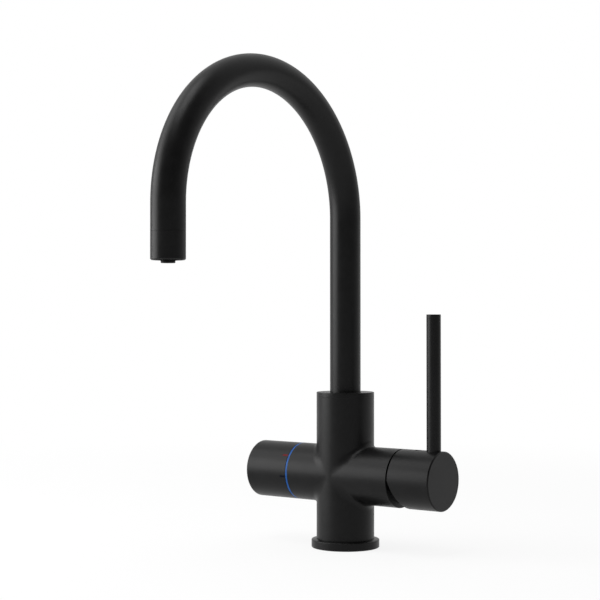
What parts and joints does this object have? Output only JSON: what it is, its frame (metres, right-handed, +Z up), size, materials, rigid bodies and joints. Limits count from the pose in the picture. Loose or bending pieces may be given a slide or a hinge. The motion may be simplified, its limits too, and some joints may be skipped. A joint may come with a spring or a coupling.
{
  "type": "drinking water faucet",
  "caption": "Three-way kitchen faucet with a swivelling swan-neck spout, a mixer lever on one arm, a filtered-water knob on the other and a nozzle inside the outlet.",
  "frame": {"origin": "centre of the column's foot, midway between the two fixing stud holes, in the plane of the worktop", "axes": "+Z up along the column, +X along the mixer arm with the lever, -X along the filter arm, -Y towards the outlet at rest"},
  "size_m": [0.1791, 0.2526, 0.3856],
  "materials": {
    "matt_black": "matt black coating, slightly satin",
    "black_collar": "matt black coating",
    "black_plastic": "matt moulded plastic",
    "brass": "machined brass",
    "steel": "stainless steel",
    "rubber": "black EPDM rubber",
    "white_plastic": "white acetal",
    "blue_plastic": "blue acetal",
    "ceramic": "ground alumina ceramic",
    "blue_ring": "blue anodised ring",
    "red_paint": "red filled mark",
    "dark_paint": "dark filled mark",
    "water_tube": "milky polyethylene"
  },
  "bodies": {
    "column": {"body": "matt_black", "base_ring": "matt_black", "base_gasket": "rubber", "top_collar": "black_collar", "upper_glide_ring": "white_plastic", "lower_glide_ring": "white_plastic", "spout_stop_screw": "steel", "filter_riser": "brass", "riser_o_ring": "rubber", "indicator_ring": "blue_ring", "cartridge_base": "white_plastic", "cartridge_seals": "rubber", "fixed_mixer_disc": "ceramic", "cartridge_housing": "white_plastic", "cartridge_nut": "brass", "cartridge_cover": "black_plastic", "valve_housing": "brass", "valve_gasket": "rubber", "fixed_valve_disc": "ceramic"},
    "spout": {"spout_tube": "matt_black", "spout_foot": "brass", "spout_o_rings": "rubber", "filter_tube_socket": "white_plastic", "filter_water_tube": "water_tube", "outlet_sleeve": "matt_black", "aerator_insert": "black_plastic", "aerator_screen": "steel", "aerator_washer": "rubber", "outlet_nozzle": "black_plastic", "nozzle_o_ring": "rubber"},
    "mixer_rotor": {"cartridge_rotor": "white_plastic", "pivot_pin": "steel"},
    "mixing_disc": {"moving_mixer_disc": "ceramic", "disc_carrier": "blue_plastic"},
    "mixer_handle": {"cartridge_stem": "steel", "handle_shell": "matt_black", "lever_rod": "matt_black", "lever_cap": "matt_black", "handle_grub_screw": "steel", "handle_screw_plug": "black_plastic"},
    "filter_knob": {"filter_knob_shell": "matt_black", "red_mark": "red_paint", "dark_mark": "dark_paint", "knob_adapter": "white_plastic", "adapter_screw": "steel", "knob_grub_screw": "steel", "valve_spindle": "brass", "spindle_o_ring": "rubber", "moving_valve_disc": "ceramic"}
  },
  "joints": [
    {"name": "spout_swivel", "type": "hinge", "parent": "column", "child": "spout", "pos_m": [0, 0, 0.122], "axis": [0, 0, 1], "range_deg": [-75, 75]},
    {"name": "temperature_turn", "type": "hinge", "parent": "column", "child": "mixer_rotor", "pos_m": [0.046, 0, 0.059], "axis": [1, 0, 0], "range_deg": [-45, 45]},
    {"name": "flow_tilt", "type": "hinge", "parent": "mixer_rotor", "child": "mixer_handle", "pos_m": [0.046, 0, 0.059], "axis": [0, 1, 0], "range_deg": [0, 20]},
    {"name": "mixing_disc_slide", "type": "slide", "parent": "mixer_rotor", "child": "mixing_disc", "axis": [0, 0, 1], "range_m": [0, 0.0036]},
    {"name": "filter_knob_turn", "type": "hinge", "parent": "column", "child": "filter_knob", "pos_m": [-0.0425, 0, 0.059], "axis": [1, 0, 0], "range_deg": [0, 90]}
  ],
  "couplings": [
    {"joint": "mixing_disc_slide", "follows": "flow_tilt", "m_per_rad": 0.01}
  ]
}
